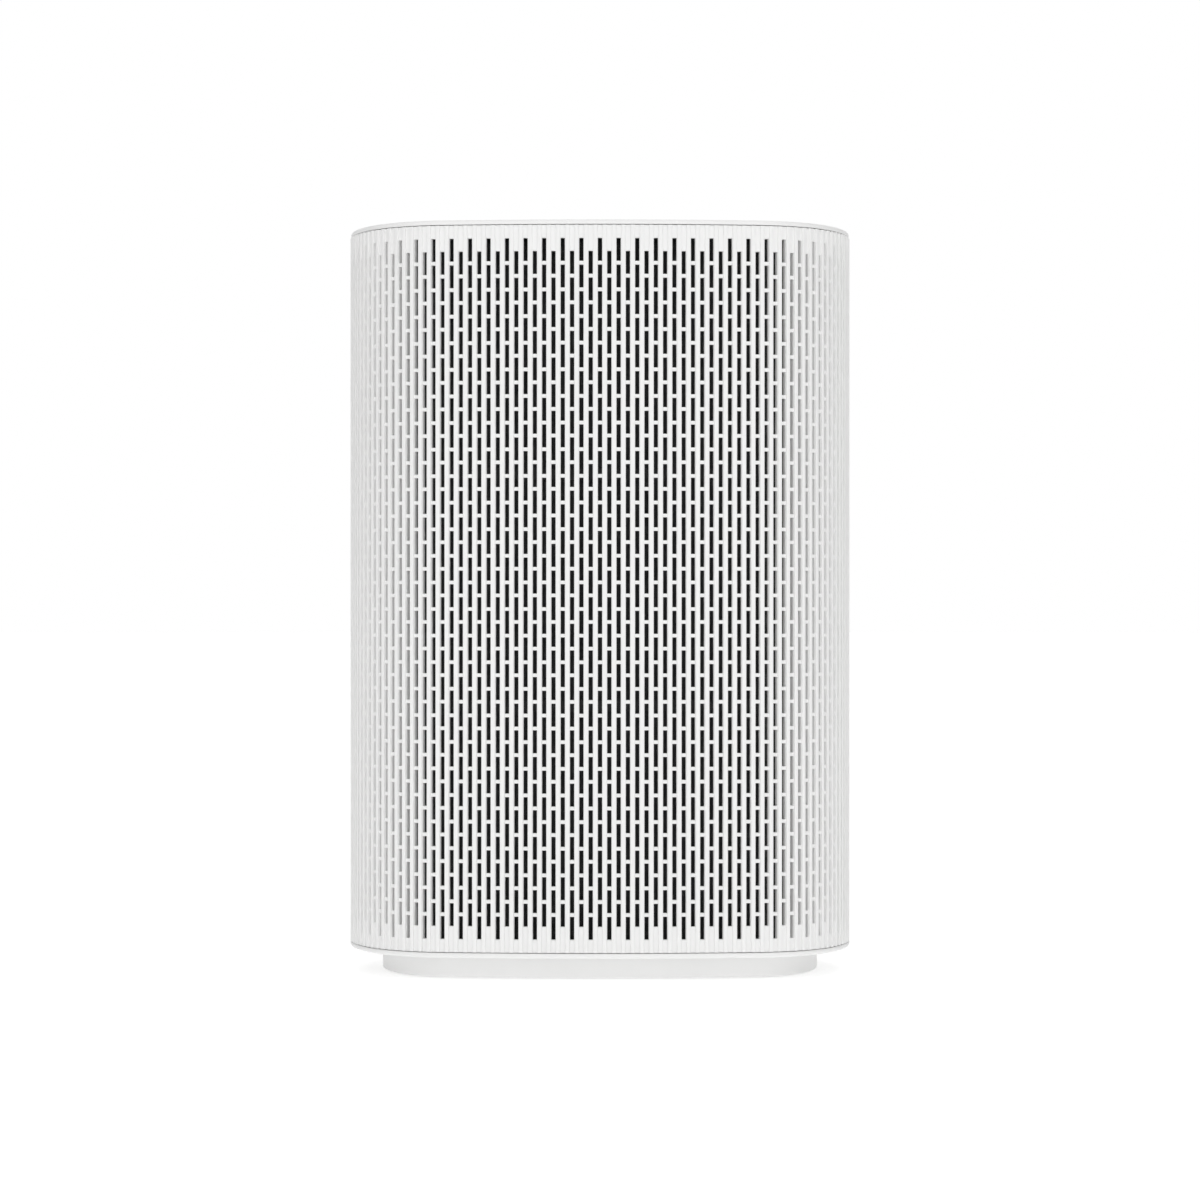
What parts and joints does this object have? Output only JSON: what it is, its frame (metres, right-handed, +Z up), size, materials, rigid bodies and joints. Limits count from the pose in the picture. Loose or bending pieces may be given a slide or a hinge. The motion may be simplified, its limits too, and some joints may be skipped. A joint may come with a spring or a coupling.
{
  "type": "air purifier",
  "caption": "Upright room air purifier with a rounded oblong body, fluted and slotted white covers front and back, a set-back plinth and an outlet grille in the top.",
  "frame": {"origin": "on the floor, under the middle of the body", "axes": "+Z up, -Y out of the front, +X to the right seen from the front"},
  "size_m": [0.34, 0.19, 0.5],
  "materials": {
    "shell_white": "fine satin moulded",
    "cap_white": "fine satin moulded",
    "base_white": "fine satin moulded",
    "grille_white": "satin moulded",
    "chassis_plastic": "matt moulded",
    "fan_plastic": "satin moulded",
    "screen_plastic": "matt moulded",
    "screen_mesh": "fine moulded nylon net",
    "filter_card": "coated board",
    "filter_paper": "pleated fibre",
    "carbon_sheet": "carbon granules on a stiff card net",
    "seal_foam": "soft foam",
    "tab_plastic": "soft tinted film",
    "steel": "zinc plated",
    "shaft_steel": "ground",
    "motor_paint": "dull coat",
    "copper_winding": "enamelled wire on steel laminations",
    "rotor_iron": "plain",
    "magnet_nickel": "nickel plated",
    "foot_rubber": "matt",
    "board_green": "solder mask",
    "button_white": "satin moulded",
    "panel_white": "soft gloss",
    "lens_dark": "tinted gloss",
    "socket_black": "moulded",
    "sensor_plastic": "matt moulded"
  },
  "bodies": {
    "chassis": {"rubber_feet": "foot_rubber", "plinth": "base_white", "plinth_screws": "steel", "bottom_tray": "base_white", "power_inlet": "socket_black", "chassis_floor": "chassis_plastic", "side_panel_left": "chassis_plastic", "side_panel_right": "chassis_plastic", "chassis_deck": "chassis_plastic", "deck_screws": "steel", "fan_baffle_front": "chassis_plastic", "fan_baffle_rear": "chassis_plastic", "fan_scroll": "chassis_plastic", "motor_can": "motor_paint", "motor_end_cover": "motor_paint", "motor_stator": "copper_winding", "motor_bearings": "shaft_steel", "inlet_guard_front": "fan_plastic", "inlet_guard_rear": "fan_plastic", "motor_mount": "steel", "guard_screws": "steel", "cover_brackets": "steel", "top_cap": "cap_white", "control_panel": "panel_white", "display_lens": "lens_dark", "control_board": "board_green", "outlet_grille": "grille_white", "grille_slats": "grille_white", "power_board": "board_green", "dust_sensor": "sensor_plastic", "cover_switches": "sensor_plastic"},
    "fan_wheel": {"impeller": "fan_plastic", "impeller_nut": "steel", "motor_shaft": "shaft_steel", "motor_rotor": "rotor_iron"},
    "front_cover_unit": {"front_cover": "shell_white", "front_cover_magnets": "magnet_nickel"},
    "front_screen_unit": {"front_screen_frame": "screen_plastic", "front_screen_mesh": "screen_mesh"},
    "front_filter_unit": {"front_filter_frame": "filter_card", "front_filter_carbon": "carbon_sheet", "front_filter_pleats": "filter_paper", "front_filter_seal": "seal_foam", "front_filter_tab": "tab_plastic"},
    "rear_cover_unit": {"rear_cover": "shell_white", "rear_cover_magnets": "magnet_nickel"},
    "rear_screen_unit": {"rear_screen_frame": "screen_plastic", "rear_screen_mesh": "screen_mesh"},
    "rear_filter_unit": {"rear_filter_frame": "filter_card", "rear_filter_carbon": "carbon_sheet", "rear_filter_pleats": "filter_paper", "rear_filter_seal": "seal_foam", "rear_filter_tab": "tab_plastic"},
    "power_key": {"power_button": "button_white"},
    "timer_key": {"timer_button": "button_white"},
    "speed_key": {"speed_button": "button_white"},
    "night_key": {"night_button": "button_white"}
  },
  "joints": [
    {"name": "fan_spin", "type": "hinge", "parent": "chassis", "child": "fan_wheel", "pos_m": [0, 0, 0.16], "axis": [0, 1, 0], "continuous": true},
    {"name": "front_cover_pull", "type": "slide", "parent": "chassis", "child": "front_cover_unit", "axis": [0, -1, 0], "range_m": [0, 0.36]},
    {"name": "front_screen_pull", "type": "slide", "parent": "chassis", "child": "front_screen_unit", "axis": [0, -1, 0], "range_m": [0, 0.24]},
    {"name": "front_filter_pull", "type": "slide", "parent": "chassis", "child": "front_filter_unit", "axis": [0, -1, 0], "range_m": [0, 0.12]},
    {"name": "rear_cover_pull", "type": "slide", "parent": "chassis", "child": "rear_cover_unit", "axis": [0, 1, 0], "range_m": [0, 0.36]},
    {"name": "rear_screen_pull", "type": "slide", "parent": "chassis", "child": "rear_screen_unit", "axis": [0, 1, 0], "range_m": [0, 0.24]},
    {"name": "rear_filter_pull", "type": "slide", "parent": "chassis", "child": "rear_filter_unit", "axis": [0, 1, 0], "range_m": [0, 0.12]},
    {"name": "power_press", "type": "slide", "parent": "chassis", "child": "power_key", "axis": [0, 0, -1], "range_m": [0, 0.001], "stiffness_N_per_m": 300, "springref_m": -0.001},
    {"name": "timer_press", "type": "slide", "parent": "chassis", "child": "timer_key", "axis": [0, 0, -1], "range_m": [0, 0.001], "stiffness_N_per_m": 300, "springref_m": -0.001},
    {"name": "speed_press", "type": "slide", "parent": "chassis", "child": "speed_key", "axis": [0, 0, -1], "range_m": [0, 0.001], "stiffness_N_per_m": 300, "springref_m": -0.001},
    {"name": "night_press", "type": "slide", "parent": "chassis", "child": "night_key", "axis": [0, 0, -1], "range_m": [0, 0.001], "stiffness_N_per_m": 300, "springref_m": -0.001}
  ],
  "couplings": [
    {"joint": "front_screen_pull", "follows": "front_cover_pull", "ratio": 0.66},
    {"joint": "front_filter_pull", "follows": "front_cover_pull", "ratio": 0.33},
    {"joint": "rear_screen_pull", "follows": "rear_cover_pull", "ratio": 0.66},
    {"joint": "rear_filter_pull", "follows": "rear_cover_pull", "ratio": 0.33}
  ]
}
